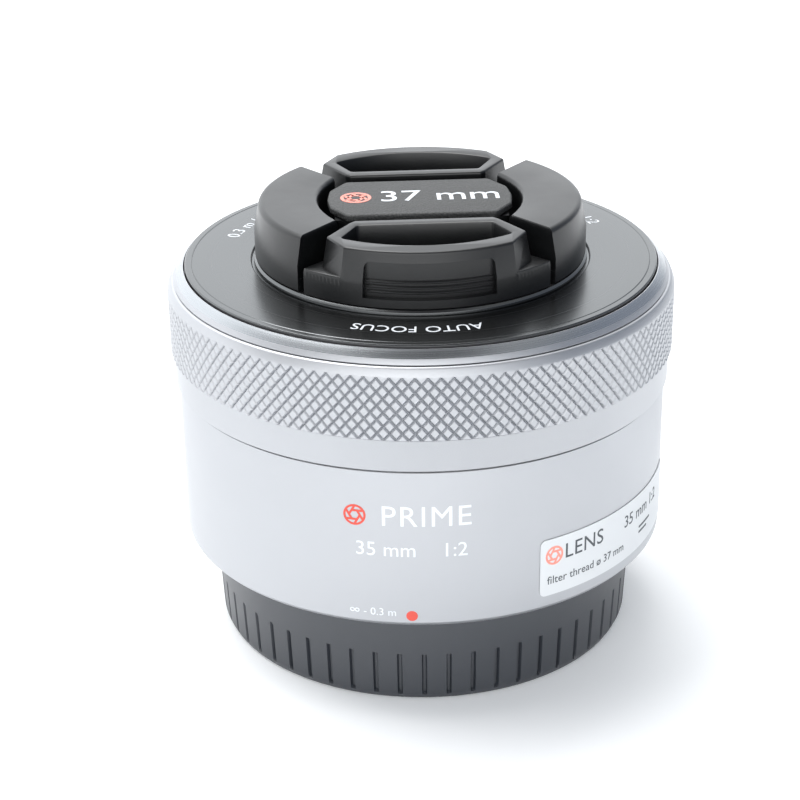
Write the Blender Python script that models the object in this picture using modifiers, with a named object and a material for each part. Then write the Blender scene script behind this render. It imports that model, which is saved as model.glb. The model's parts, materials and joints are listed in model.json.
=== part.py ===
"""Autofocus prime lens standing on its rear cap, with its front pinch cap fitted.

World units are metres; the constants are millimetres and pass through MM. The origin is the
centre of the rear cap's underside, +Z runs along the optical axis to the front, and the
engraved side of the barrel faces -Y.
"""

import math

import bmesh
import bpy
from mathutils import Matrix

MM = 0.001

# Steps round a turned piece
LARGE, SMALL, FINE = 40, 24, 10

# Rear cap
REAR_CAP_R, REAR_CAP_FOOT_R, REAR_CAP_TOP, REAR_CAP_FLOOR = 26.2, 25.5, 12.1, 1.6
CAP_BORE_R, CAP_LUG_R = 23.9, 22.2

# Bayonet mount
FLANGE_BOTTOM, FLANGE_TOP, FLANGE_R = 12.6, 14.2, 27.4
BAYONET_BOTTOM, BAYONET_R, THROAT_R, LUG_R = 8.2, 21.8, 20.2, 23.3
LUG_COUNT, LUG_HALF = 3, 18
SCREW_COUNT, SCREW_PITCH_R, SCREW_HEAD_R, SCREW_SHANK_R = 4, 24.6, 1.35, 0.6

# Barrel, focus ring and bezel
BARREL_R, BARREL_BOTTOM, BARREL_TOP = 29.7, 12.4, 32.1
RING_R, RING_SKIRT_R, RING_BORE_R = 30.5, 30.1, 28.3
RING_BOTTOM, RING_KNURL_BOTTOM, RING_KNURL_TOP, RING_TOP = 32.4, 36.4, 43.8, 44.85
BEZEL_BOTTOM, BEZEL_TOP = 45.0, 46.45
CHASSIS_R, CHASSIS_WALL, CHASSIS_TOP = 27.3, 1.0, 43.0
DECK_BOTTOM, DECK_TOP = 14.5, 15.7

# Name ring with the filter-thread collar
NAME_RING_R, NAME_RING_TOP = 28.3, 46.8
COLLAR_R, THREAD_R, COLLAR_TOP, COLLAR_BOTTOM = 20.0, 18.5, 47.3, 41.6

# Printed label and index dot on the barrel
LABEL_LOW, LABEL_HIGH, LABEL_FROM, LABEL_TO = 14.3, 21.6, -63.4, -10.0
DOT_R, DOT_Z, DOT_ANGLE = 0.7, 13.86, -92.6

# Iris: blades turn on pins in the base, the iris ring drives their ears
BULKHEAD_BOTTOM, BULKHEAD_TOP, BULKHEAD_R = 27.6, 28.3, 26.0
IRIS_OPEN_R, IRIS_WALL_R, IRIS_WALL_TOP = 8.0, 18.1, 31.8
BLADE_COUNT, BLADE_THICKNESS, BLADE_STEP, BLADE_FIRST = 7, 0.16, 0.34, 28.6
BLADE_IN_R, BLADE_OUT_R, BLADE_SPAN = 8.4, 12.3, 108
PIVOT_R, PIVOT_PIN_R, EAR_LENGTH, EAR_R, EAR_ANGLE = 13.0, 0.45, 2.4, 0.95, -15
DRIVE_PIN_R, DRIVE_HOLE_R = 0.4, 0.65
IRIS_RING_IN, IRIS_RING_LOW, IRIS_RING_HIGH = 13.9, 31.05, 31.65
GEAR_MODULE, RING_TEETH_FULL, PINION_TEETH, SECTOR_TEETH = 0.35, 100, 10, 9
PINION_ANGLE = 120
COVER_LOW, COVER_HIGH = 31.95, 32.6

# Focus drive
CARRIER_LOW, CARRIER_HIGH, CARRIER_R, CARRIER_BORE_R = 20.6, 24.0, 11.0, 9.3
ROD_R, ROD_AT, ROD_ANGLES, BUSH_R, BUSH_BORE_R = 0.75, 15.8, (60, 180), 1.7, 0.9
SCREW_AT, SCREW_ANGLE, LEAD_SCREW_R = 17.5, 300, 1.0

# Front pinch cap, measured in the cap's own turned frame
CAP_TURN = 3.2
CAP_BOTTOM, CAP_LEDGE, CAP_TOP = 47.45, 50.6, 54.0
CAP_R, CAP_RIM_R = 19.8, 19.5
WING_END, WING_IN_X, WING_IN_Y, WING_MID_X = 48.0, 9.95, 7.6, 12.1
GRIP_END, GRIP_IN_R, GRIP_RIM_X = 45.2, 17.0, 9.6
CAP_FLOOR_IN_R, CAP_FLOOR_TOP, WING_FOOT = 15.6, 48.9, 48.5
PEDESTAL_SIZE, PEDESTAL_Z = (20.4, 10.4, 4.4), 50.8
PLATE_OUTLINE, PLATE_LOW, PLATE_HIGH = ((8.7, 6.1), (10.6, 3.2), (11.0, 1.4)), 53.1, 53.9
WINDOW_IN_R, WINDOW_HALF, WINDOW_LOW, WINDOW_HIGH = 18.9, 22.4, 48.5, 52.8
GRIP_OUTLINE = ((11.3, 13.1), (8.6, 8.7), (8.0, 8.1))
POCKET_OUTLINE = ((9.7, 13.4), (7.8, 9.7))
POCKET_R, POCKET_FLOOR = 16.7, 50.0
TAB_IN, TAB_OUT, TAB_HALF, TAB_BOTTOM = 17.2, 18.3, 24, 45.1
SPRING_R, SPRING_WIRE_R, SPRING_TURNS, SPRING_Z = 0.8, 0.16, 4, 51.2
SPRING_FROM, SPRING_LENGTH, SPRING_PLAY = -7.85, 4.0, 0.3

FINISHES = {
    "silver": ((0.78, 0.79, 0.80), 0.36, 1.0),
    "black_satin": ((0.030, 0.031, 0.033), 0.38, 0.6),
    "cap_plastic": ((0.036, 0.038, 0.041), 0.46, 0.0),
    "cap_plate": ((0.085, 0.088, 0.088), 0.62, 0.0),
    "chrome": ((0.80, 0.80, 0.79), 0.16, 1.0),
    "steel": ((0.62, 0.62, 0.63), 0.30, 1.0),
    "brass": ((0.80, 0.61, 0.32), 0.28, 1.0),
    "inner_plastic": ((0.018, 0.018, 0.019), 0.60, 0.0),
    "blade_steel": ((0.060, 0.060, 0.062), 0.45, 0.8),
    "glass": ((0.90, 0.95, 0.98), 0.03, 0.0),
    "board": ((0.015, 0.11, 0.05), 0.45, 0.0),
    "label": ((0.90, 0.91, 0.90), 0.50, 0.0),
    "red_paint": ((0.80, 0.06, 0.04), 0.35, 0.0),
    "white_plastic": ((0.86, 0.86, 0.84), 0.45, 0.0),
}


def clear_scene():
    for old in list(bpy.data.objects):
        bpy.data.objects.remove(old, do_unlink=True)


def collection(name, hidden=False):
    made = bpy.data.collections.new(name)
    made.hide_render = hidden
    bpy.context.scene.collection.children.link(made)
    return made


clear_scene()
LENS = collection("prime_camera_lens")
CUTTERS = collection("cutters", hidden=True)


def material(slot):
    if slot in bpy.data.materials:
        return bpy.data.materials[slot]
    colour, roughness, metallic = FINISHES[slot]
    made = bpy.data.materials.new(slot)
    made.use_nodes = True
    shader = made.node_tree.nodes["Principled BSDF"]
    shader.inputs["Base Color"].default_value = (*colour, 1.0)
    shader.inputs["Roughness"].default_value = roughness
    shader.inputs["Metallic"].default_value = metallic
    return made


def piece(name, slot, mesh):
    """A named piece of the lens, or a hidden cutter when its slot is None."""
    made = bpy.data.objects.new(name, mesh)
    if slot is None:
        made.hide_render = True
        made.display_type = "WIRE"
        CUTTERS.objects.link(made)
        return made
    mesh.materials.append(material(slot))
    mesh.shade_smooth()
    mesh.set_sharp_from_angle(angle=math.radians(30))
    LENS.objects.link(made)
    return made


def turned(name, slot, outline, steps=LARGE):
    """Turns an outline of (radius, height) that runs down its outer side.

    It closes on itself, unless it starts and ends on the axis.
    """
    mesh = bpy.data.meshes.new(name)
    points = [(radius * MM, 0, height * MM) for radius, height in outline]
    edges = [(i, i + 1) for i in range(len(points) - 1)]
    if outline[0][0] > 0:
        edges.append((len(points) - 1, 0))
    mesh.from_pydata(points, edges, [])
    made = piece(name, slot, mesh)
    turn = made.modifiers.new("Turn", "SCREW")
    turn.steps = turn.render_steps = steps
    turn.use_merge_vertices = True
    turn.merge_threshold = 1e-5
    return made


def ring(name, slot, inner, outer, low, high, steps=LARGE):
    outline = ((outer, high), (outer, low), (inner, low), (inner, high))
    return turned(name, slot, outline, steps)


def flat(name, slot, outline, low, high):
    """Extrudes a closed outline of (x, y) between two heights."""
    curve = bpy.data.curves.new(name, "CURVE")
    curve.dimensions = "2D"
    curve.fill_mode = "BOTH"
    curve.extrude = (high - low) / 2 * MM
    spline = curve.splines.new("POLY")
    spline.points.add(len(outline) - 1)
    for point, (x, y) in zip(spline.points, outline):
        point.co = (x * MM, y * MM, 0, 1)
    spline.use_cyclic_u = True
    guide = bpy.data.objects.new(name + "_outline", curve)
    guide.location.z = (low + high) / 2 * MM
    CUTTERS.objects.link(guide)
    made = piece(name, slot, meshed(guide))
    bpy.data.objects.remove(guide)
    return made


def meshed(guide):
    """The curve's surface as a closed mesh in world space."""
    bpy.context.view_layer.update()
    evaluated = guide.evaluated_get(bpy.context.evaluated_depsgraph_get())
    mesh = bpy.data.meshes.new_from_object(evaluated)
    mesh.transform(guide.matrix_world)
    work = bmesh.new()
    work.from_mesh(mesh)
    bmesh.ops.remove_doubles(work, verts=work.verts, dist=1e-7)
    bmesh.ops.recalc_face_normals(work, faces=work.faces)
    work.to_mesh(mesh)
    work.free()
    mesh.materials.clear()
    return mesh


def rod(name, slot, radius, low, high, at=(0, 0), steps=FINE):
    """An upright cylinder centred at (x, y)."""
    work = bmesh.new()
    bmesh.ops.create_cone(
        work, cap_ends=True, segments=steps, radius1=radius * MM, radius2=radius * MM,
        depth=(high - low) * MM, matrix=Matrix.Translation((0, 0, (low + high) / 2 * MM)),
    )
    mesh = bpy.data.meshes.new(name)
    work.to_mesh(mesh)
    work.free()
    made = piece(name, slot, mesh)
    made.location = (at[0] * MM, at[1] * MM, 0)
    return made


def box(name, slot, size, centre, turn=0):
    """A box of size (x, y, z), turned in degrees about its own upright axis."""
    work = bmesh.new()
    scale = Matrix.Diagonal((size[0] * MM, size[1] * MM, size[2] * MM, 1))
    bmesh.ops.create_cube(work, size=1, matrix=scale)
    mesh = bpy.data.meshes.new(name)
    work.to_mesh(mesh)
    work.free()
    made = piece(name, slot, mesh)
    made.location = [c * MM for c in centre]
    made.rotation_euler.z = math.radians(turn)
    return made


def boolean(target, other, operation):
    step = target.modifiers.new(other.name, "BOOLEAN")
    step.operation = operation
    step.object = other
    return target


def cut(target, *others):
    for other in others:
        boolean(target, other, "DIFFERENCE")
    return target


def join(target, *others):
    for other in others:
        boolean(target, other, "UNION")
    return target


def polar(radius, degrees):
    return (radius * math.cos(math.radians(degrees)), radius * math.sin(math.radians(degrees)))


def arc(radius, start, end, steps):
    return [polar(radius, start + (end - start) * i / steps) for i in range(steps + 1)]


def sector(name, slot, inner, outer, start, end, low, high, steps=10):
    """A slice of a ring between two angles in degrees."""
    outline = arc(outer, start, end, steps) + arc(inner, end, start, steps)
    return flat(name, slot, outline, low, high)


def lens_element(name, radius, front, front_bulge, back, back_bulge):
    """A glass element: edge heights and the rise of each face at the axis, plus outwards."""
    steps = 4
    radii = [radius * i / steps for i in range(steps + 1)]
    face = [(r, front + front_bulge * (1 - (r / radius) ** 2)) for r in radii]
    rear = [(r, back - back_bulge * (1 - (r / radius) ** 2)) for r in reversed(radii)]
    return turned(name, "glass", face + rear, SMALL)


def rear_cap():
    cup = turned("rear_cap", "cap_plastic", (
        (0, REAR_CAP_FLOOR), (CAP_BORE_R - 0.6, REAR_CAP_FLOOR), (CAP_BORE_R, REAR_CAP_FLOOR + 0.6),
        (CAP_BORE_R, REAR_CAP_TOP), (REAR_CAP_R - 0.3, REAR_CAP_TOP),
        (REAR_CAP_R, REAR_CAP_TOP - 0.3), (REAR_CAP_FOOT_R, 0.4), (REAR_CAP_FOOT_R - 0.4, 0),
        (0, 0),
    ))
    for i in range(LUG_COUNT):
        middle = i * 360 / LUG_COUNT
        lug = sector(f"cap_lug_{i}", None, CAP_LUG_R, CAP_BORE_R + 0.8,
                     middle - LUG_HALF, middle + LUG_HALF, 9.8, 11.2, 4)
        join(cup, lug)


def screw_places():
    return [polar(SCREW_PITCH_R, 45 + 360 / SCREW_COUNT * i) for i in range(SCREW_COUNT)]


def mount():
    """The bayonet ring, its screws, the contact block and the light baffle inside it."""
    bayonet = turned("mount_bayonet", "chrome", (
        (FLANGE_R, FLANGE_TOP), (FLANGE_R, FLANGE_BOTTOM), (BAYONET_R, FLANGE_BOTTOM),
        (BAYONET_R, BAYONET_BOTTOM), (THROAT_R, BAYONET_BOTTOM), (THROAT_R, FLANGE_TOP),
    ))
    for i in range(LUG_COUNT):
        middle = 60 + i * 360 / LUG_COUNT
        lug = sector(f"mount_lug_{i}", None, BAYONET_R - 0.6, LUG_R,
                     middle - LUG_HALF, middle + LUG_HALF, 8.4, 9.5, 4)
        join(bayonet, lug)
    for i, place in enumerate(screw_places()):
        cut(bayonet, rod(f"screw_hole_{i}", None, SCREW_SHANK_R + 0.3, 12, 15, place),
            rod(f"screw_sink_{i}", None, SCREW_HEAD_R + 0.2, 12, 13.6, place))
        screw = turned(f"mount_screw_{i + 1}", "steel", (
            (0, 15.5), (SCREW_SHANK_R, 15.5), (SCREW_SHANK_R, 13.4), (SCREW_HEAD_R, 13.4),
            (SCREW_HEAD_R, 12.7), (0.5, 12.7), (0.5, 13.1), (0, 13.1),
        ), FINE)
        screw.location = (place[0] * MM, place[1] * MM, 0)
    sector("contact_block", "inner_plastic", 16.8, 19.4, -122, -58, 8.3, 9.3)
    turned("rear_baffle", "inner_plastic", (
        (19.9, 14.2), (19.9, 9.6), (14.3, 9.6), (14.3, 10.3), (19.2, 10.3), (19.2, 14.2),
    ))


def chassis():
    """The inner tube with its bottom deck, which everything else is fastened to."""
    inner = CHASSIS_R - CHASSIS_WALL
    tube = turned("chassis_tube", "inner_plastic", (
        (CHASSIS_R, CHASSIS_TOP), (CHASSIS_R, DECK_BOTTOM), (14.5, DECK_BOTTOM),
        (14.5, DECK_TOP), (inner, DECK_TOP), (inner, CHASSIS_TOP),
    ))
    for i, place in enumerate(screw_places()):
        cut(tube, rod(f"deck_hole_{i}", None, SCREW_SHANK_R + 0.2, 14, 17, place))
    cut(tube, box("sensor_window", None, (6, 4, 4), (0, 27, 35)))
    box("encoder_sensor", "inner_plastic", (5, 2.4, 3.2), (0, 24.4, 35))


def barrel():
    """The outer barrel with its red index dot and printed label."""
    wall = 1.4
    inner = BARREL_R - wall
    shell = turned("main_barrel", "silver", (
        (BARREL_R - 0.15, BARREL_TOP), (BARREL_R, BARREL_TOP - 0.15), (BARREL_R, 12.9),
        (BARREL_R - 0.5, BARREL_BOTTOM), (FLANGE_R + 0.3, BARREL_BOTTOM),
        (FLANGE_R + 0.3, 14.0), (inner, 14.0), (inner, BARREL_TOP - 0.6),
        (BARREL_R - 0.5, BARREL_TOP - 0.6), (BARREL_R - 0.5, BARREL_TOP),
    ))
    turn = Matrix.Rotation(math.radians(DOT_ANGLE), 4, "Z")
    lie_down = Matrix.Rotation(math.radians(90), 4, "Y")
    stand = turn @ Matrix.Translation((0, 0, DOT_Z * MM)) @ lie_down
    hole = rod("dot_hole", None, DOT_R + 0.05, 29.0, 31.0)
    hole.matrix_world = stand
    cut(shell, hole)
    dot = rod("mount_index_dot", "red_paint", DOT_R, 29.1, 29.72)
    dot.matrix_world = stand
    sector("side_label", "label", BARREL_R + 0.05, BARREL_R + 0.15, LABEL_FROM, LABEL_TO,
           LABEL_LOW, LABEL_HIGH, 18)


def focus_ring():
    """The turning ring, the comb inside it that the sensor reads, and the slip washer."""
    turned("focus_ring", "silver", (
        (RING_R - 0.6, RING_TOP), (RING_R - 0.15, RING_TOP - 0.45), (RING_R, RING_KNURL_TOP),
        (RING_R, RING_KNURL_BOTTOM), (RING_SKIRT_R, RING_KNURL_BOTTOM - 0.2),
        (RING_SKIRT_R, RING_BOTTOM + 0.3), (RING_SKIRT_R - 0.3, RING_BOTTOM),
        (RING_BORE_R, RING_BOTTOM), (RING_BORE_R, RING_TOP),
    ))
    ring("slip_washer", "white_plastic", 28.55, 29.05, 31.7, 32.2)
    comb = ring("encoder_comb", "inner_plastic", 27.65, 28.05, 34, 38)
    slots, half_slot = 16, 6
    star = []
    for i in range(slots):
        middle = 360 / slots * i
        star += [polar(32, middle - half_slot), polar(32, middle + half_slot)]
        star.append(polar(20, middle + 180 / slots))
    cut(comb, flat("comb_slots", None, star, 33, 36))


def front():
    """The bezel, the name ring with its thread collar, and the front optical cell."""
    turned("front_bezel", "silver", (
        (28.65, BEZEL_TOP), (29.4, 45.6), (29.8, 45.1), (29.7, BEZEL_BOTTOM),
        (28.0, BEZEL_BOTTOM), (28.0, 43.3), (27.5, 43.3), (27.5, 45.4), (28.45, 45.4),
        (28.45, BEZEL_TOP - 0.05),
    ))
    turned("name_ring", "black_satin", (
        (NAME_RING_R, NAME_RING_TOP), (NAME_RING_R, 45.7), (COLLAR_R, 45.7),
        (COLLAR_R, COLLAR_BOTTOM), (THREAD_R, COLLAR_BOTTOM), (THREAD_R, COLLAR_TOP - 0.2),
        (THREAD_R + 0.2, COLLAR_TOP), (COLLAR_R - 0.3, COLLAR_TOP), (COLLAR_R, NAME_RING_TOP),
    ))
    turned("front_cell", "inner_plastic", (
        (26.0, 41.3), (26.0, 40.2), (14.2, 40.2), (14.2, 33.6), (10.4, 33.6), (10.4, 34.2),
        (12.9, 34.2), (12.9, 41.3),
    ), SMALL)
    lens_element("front_element", 12.6, 39.6, 1.2, 37.6, -0.7)
    ring("element_spacer", "inner_plastic", 11.6, 12.6, 37.05, 37.45, SMALL)
    lens_element("second_element", 12.6, 36.9, -0.8, 34.5, 0.25)
    ring("front_retaining_ring", "black_satin", 11.2, 12.6, 40.1, 41.2, SMALL)


def rear_group():
    turned("rear_cell", "inner_plastic", (
        (13.9, 18.0), (13.9, 16.9), (16.2, 16.9), (16.2, 16.0), (13.9, 16.0), (13.9, 10.2),
        (8.8, 10.2), (8.8, 10.9), (9.8, 10.9), (9.8, 18.0),
    ), SMALL)
    lens_element("rear_element", 9.4, 15.2, 1.0, 12.2, 0.7)
    ring("rear_retaining_ring", "black_satin", 8.3, 9.5, 15.55, 16.4, SMALL)


def electronics():
    board = arc(25.6, 20, 330, 24) + arc(17.0, 330, 20, 24)
    flat("main_board", "board", board, 16.4, 17.2)
    box("lens_processor", "inner_plastic", (6, 6, 1.0), (*polar(21.3, 90), 17.9))
    box("home_sensor", "inner_plastic", (4, 3.4, 3), (*polar(17.6, 240), 19.1), 240)


def tooth_profile(pitch_r, teeth, count, outward):
    """Trapezoid teeth as (radius, angle): thin enough to keep a running backlash."""
    pitch = 360 / teeth
    tip, root = pitch_r + 0.3 * outward, pitch_r - 0.44 * outward
    points = []
    for i in range(count):
        middle = (i - (count - 1) / 2) * pitch
        points += [(root, middle - 0.27 * pitch), (tip, middle - 0.12 * pitch),
                   (tip, middle + 0.12 * pitch), (root, middle + 0.27 * pitch)]
    return points


def blade(index):
    """A crescent blade with its pivot hole and the ear whose pin the iris ring drives."""
    low = BLADE_FIRST + index * BLADE_STEP
    high = low + BLADE_THICKNESS
    crescent = arc(BLADE_OUT_R, -2, BLADE_SPAN, 10) + arc(BLADE_IN_R, BLADE_SPAN, -2, 10)
    name = f"iris_blade_{index + 1}"
    made = flat(name, "blade_steel", crescent, low, high)
    tip_x, tip_y = polar(EAR_LENGTH, EAR_ANGLE)
    side_x, side_y = polar(EAR_R, EAR_ANGLE + 90)
    back_x, back_y = polar(1.8, EAR_ANGLE + 180)
    round_end = [(PIVOT_R + tip_x + x, tip_y + y)
                 for x, y in arc(EAR_R, EAR_ANGLE - 90, EAR_ANGLE + 90, 4)]
    round_end += [(PIVOT_R + back_x + side_x, back_y + side_y),
                  (PIVOT_R + back_x - side_x, back_y - side_y)]
    pivot = (PIVOT_R, 0)
    join(made, flat(f"{name}_ear", None, round_end, low, high))
    cut(made, rod(f"{name}_hole", None, PIVOT_PIN_R + 0.17, low - 1, high + 1, pivot, 8))
    join(made, rod(f"{name}_pin", None, DRIVE_PIN_R, low + 0.05, 31.5,
                   (PIVOT_R + tip_x, tip_y), 8))
    settle_on_pivot(made, pivot, 360 / BLADE_COUNT * index)


def settle_on_pivot(made, pivot, turn):
    """Bakes the modifiers, moves the origin to the pivot and turns the piece about the axis."""
    bpy.context.view_layer.update()
    graph = bpy.context.evaluated_depsgraph_get()
    mesh = bpy.data.meshes.new_from_object(made.evaluated_get(graph))
    made.modifiers.clear()
    made.data = mesh
    mesh.transform(Matrix.Translation((-pivot[0] * MM, -pivot[1] * MM, 0)))
    angle = math.radians(turn)
    made.location = Matrix.Rotation(angle, 4, "Z") @ Matrix.Translation(
        (pivot[0] * MM, pivot[1] * MM, 0)).translation
    made.rotation_euler.z = angle


def iris():
    base = turned("aperture_base", "inner_plastic", (
        (IRIS_WALL_R + 0.8, IRIS_WALL_TOP), (IRIS_WALL_R + 0.8, BULKHEAD_TOP),
        (BULKHEAD_R, BULKHEAD_TOP), (BULKHEAD_R, BULKHEAD_BOTTOM),
        (IRIS_OPEN_R, BULKHEAD_BOTTOM), (IRIS_OPEN_R, BULKHEAD_TOP),
        (IRIS_WALL_R, BULKHEAD_TOP), (IRIS_WALL_R, IRIS_WALL_TOP),
    ), SMALL)
    ring_pitch_r = GEAR_MODULE * RING_TEETH_FULL / 2
    pinion_pitch_r = GEAR_MODULE * PINION_TEETH / 2
    pinion_place = polar(ring_pitch_r + pinion_pitch_r, PINION_ANGLE)
    cut(base, rod("pinion_window", None, pinion_pitch_r + 0.75, 28.5, 33, pinion_place),
        rod("pinion_shaft_hole", None, 0.9, 27, 29, pinion_place))
    for i in range(BLADE_COUNT):
        turn = 360 / BLADE_COUNT * i
        join(base, rod(f"pivot_pin_{i}", None, PIVOT_PIN_R, 28.1, 31.7, polar(PIVOT_R, turn), 8))
        blade(i)

    teeth = tooth_profile(ring_pitch_r, RING_TEETH_FULL, SECTOR_TEETH, 1)
    half_sector = 180 / RING_TEETH_FULL * SECTOR_TEETH
    outline = [polar(r, PINION_ANGLE + 1.8 + a) for r, a in teeth]
    outline += arc(ring_pitch_r + 0.3, PINION_ANGLE + 1.8 + half_sector,
                   PINION_ANGLE + 1.8 - half_sector + 360, 28)
    driver = flat("iris_ring", "blade_steel", outline, IRIS_RING_LOW, IRIS_RING_HIGH)
    cut(driver, rod("iris_ring_bore", None, IRIS_RING_IN, 30, 33, steps=SMALL))
    ear_x, ear_y = polar(EAR_LENGTH, EAR_ANGLE)
    pin_r = math.hypot(PIVOT_R + ear_x, ear_y)
    pin_angle = math.degrees(math.atan2(ear_y, PIVOT_R + ear_x))
    for i in range(BLADE_COUNT):
        place = polar(pin_r + 0.03, pin_angle + 360 / BLADE_COUNT * i)
        cut(driver, rod(f"drive_hole_{i}", None, DRIVE_HOLE_R, 30, 33, place, 8))
    ring("aperture_cover", "inner_plastic", 8.2, IRIS_WALL_R + 0.8, COVER_LOW, COVER_HIGH, SMALL)

    pinion_teeth = tooth_profile(pinion_pitch_r, PINION_TEETH, PINION_TEETH, 1)
    gear = [polar(r, PINION_ANGLE + 180 + 18 + a) for r, a in pinion_teeth]
    pinion = flat("aperture_pinion", "brass", gear, IRIS_RING_LOW, IRIS_RING_HIGH)
    join(pinion, rod("pinion_shaft", None, 0.6, 27.5, 31.3))
    settle_on_pivot(pinion, (0, 0), 0)
    pinion.location = (pinion_place[0] * MM, pinion_place[1] * MM, 0)
    rod("aperture_motor", "steel", 3.5, 21.5, 27.3, pinion_place, 24)


def focus_drive():
    """The moving carrier with its cemented pair, guided by two rods and the lead screw."""
    carrier = ring("focus_carrier", "inner_plastic", CARRIER_BORE_R, CARRIER_R,
                   CARRIER_LOW, CARRIER_HIGH, SMALL)
    for i, angle in enumerate(ROD_ANGLES):
        place = polar(ROD_AT, angle)
        arm = box(f"rod_arm_{i}", None, (5, 2, 2), (*polar(13, angle), 22.0), angle)
        join(carrier, arm, rod(f"rod_bush_{i}", None, BUSH_R, 20.8, 23.8, place))
        cut(carrier, rod(f"rod_bore_{i}", None, BUSH_BORE_R, 19, 25, place))
        rod(f"guide_rod_{i + 1}", "steel", ROD_R, 18.2, 27.3, place)
    screw_place = polar(SCREW_AT, SCREW_ANGLE)
    arm = box("nut_arm", None, (6.0, 2.4, 1.6), (*polar(13.2, SCREW_ANGLE), 22.0), SCREW_ANGLE)
    join(carrier, arm, rod("nut_clip", None, 3.1, 21.4, 22.6, screw_place))
    cut(carrier, rod("nut_seat", None, 2.3, 20, 24, screw_place))
    nut = turned("carrier_nut", "brass", (
        (2.0, 23.6), (2.0, 21.2), (1.2, 21.2), (1.2, 23.6),
    ), FINE)
    nut.location = (screw_place[0] * MM, screw_place[1] * MM, 0)
    rod("lead_screw", "steel", LEAD_SCREW_R, 21.0, 27.3, screw_place)
    rod("focus_motor", "steel", 3.5, 17.4, 20.8, screw_place, 24)
    lens_element("focus_element_1", 9.0, 23.6, 0.8, 22.4, 0.5)
    lens_element("focus_element_2", 9.0, 22.2, -0.5, 21.2, -0.3)


def wing_outline(side, radius):
    """One wing of the front cap: side is 1 for +X and -1 for -X."""
    outer = [(x * side, y) for x, y in arc(radius, WING_END - 90, 90 - WING_END, 14)]
    rise = WING_MID_X - WING_IN_X
    hollow = [(side * (WING_MID_X - rise * t * t), -WING_IN_Y * t)
              for t in (-1, -0.66, -0.33, 0, 0.33, 0.66, 1)]
    return outer + hollow


def cap_body():
    """The floor, both wings and the plate's pedestal, as one moulding."""
    floor = []
    for middle in (0, 180):
        floor += arc(CAP_R, middle + WING_END - 90, middle + 90 - WING_END, 14)
        floor += arc(CAP_FLOOR_IN_R, middle + 90 - WING_END, middle + 90 + WING_END, 14)
    body = flat("cap_body", "cap_plastic", floor, CAP_BOTTOM, CAP_FLOOR_TOP)
    for side in (-1, 1):
        join(body, flat(f"wing_foot_{side}", None, wing_outline(side, CAP_R), WING_FOOT, CAP_LEDGE),
             flat(f"wing_{side}", None, wing_outline(side, CAP_RIM_R), 50.4, CAP_TOP))
    join(body, box("pedestal", None, PEDESTAL_SIZE, (0, 0, PEDESTAL_Z)))
    for side in (-1, 1):
        bore = rod(f"spring_bore_{side}", None, SPRING_R + SPRING_WIRE_R + SPRING_PLAY, -2, 2)
        bore.rotation_euler.x = math.radians(90)
        bore.location = (0, side * 4.6 * MM, SPRING_Z * MM)
        cut(body, bore)
    return body


def cap_plate():
    """The long plate between the grips, with clipped corners and rounded ends."""
    outline = []
    for side in (-1, 1):
        outline += [(x * side, -y * side) for x, y in PLATE_OUTLINE]
        outline += [(x * side, y * side) for x, y in reversed(PLATE_OUTLINE)]
    return flat("cap_plate", "cap_plate", outline, PLATE_LOW, PLATE_HIGH)


def cap_grip(name):
    """The grip on the -Y side: a walled pocket on a deck, with tabs that hold the thread."""
    middle = -90
    left, right = middle - GRIP_END, middle + GRIP_END
    grip = sector(name, "cap_plastic", GRIP_IN_R, CAP_R, left, right, CAP_BOTTOM, CAP_LEDGE, 16)
    corner_x, corner_y = GRIP_OUTLINE[1]
    deck = arc(CAP_R - 0.01, left, right, 16) + [(corner_x, -corner_y), (-corner_x, -corner_y)]
    join(grip, flat(f"{name}_deck", None, deck, 49.3, CAP_LEDGE - 0.01))
    rim_from = math.degrees(math.acos(GRIP_RIM_X / CAP_RIM_R))
    raised = arc(CAP_RIM_R, -180 + rim_from, -rim_from, 12)
    raised += [(x, -y) for x, y in GRIP_OUTLINE] + [(-x, -y) for x, y in reversed(GRIP_OUTLINE)]
    join(grip, flat(f"{name}_raised", None, raised, 49.4, CAP_TOP))
    pocket_from = math.degrees(math.acos(POCKET_OUTLINE[0][0] / POCKET_R))
    pocket = arc(POCKET_R, -180 + pocket_from, -pocket_from, 8)
    pocket += [(x, -y) for x, y in POCKET_OUTLINE[1:]]
    pocket += [(-x, -y) for x, y in reversed(POCKET_OUTLINE[1:])]
    cut(grip, flat(f"{name}_pocket", None, pocket, POCKET_FLOOR, CAP_TOP + 2),
        sector(f"{name}_window", None, WINDOW_IN_R, CAP_R + 1, middle - WINDOW_HALF, middle + WINDOW_HALF,
               WINDOW_LOW, WINDOW_HIGH))
    join(grip, sector(f"{name}_tab", None, TAB_IN, TAB_OUT, middle - TAB_HALF, middle + TAB_HALF,
                      TAB_BOTTOM, CAP_BOTTOM + 0.5, 8))
    return grip


def cap_spring(name):
    """The coil that pushes the -Y grip out, lying along Y."""
    per_turn = 8
    count = per_turn * SPRING_TURNS + 1
    curve = bpy.data.curves.new(name, "CURVE")
    curve.dimensions = "3D"
    curve.bevel_depth = SPRING_WIRE_R * MM
    curve.bevel_resolution = 0
    curve.use_fill_caps = True
    spline = curve.splines.new("POLY")
    spline.points.add(count - 1)
    for i, point in enumerate(spline.points):
        x, z = polar(SPRING_R, 360 * i / per_turn)
        y = SPRING_FROM + SPRING_LENGTH * i / (count - 1)
        point.co = (x * MM, y * MM, (SPRING_Z + z) * MM, 1)
    guide = bpy.data.objects.new(name + "_wire", curve)
    CUTTERS.objects.link(guide)
    made = piece(name, "steel", meshed(guide))
    bpy.data.objects.remove(guide)
    return made


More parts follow.
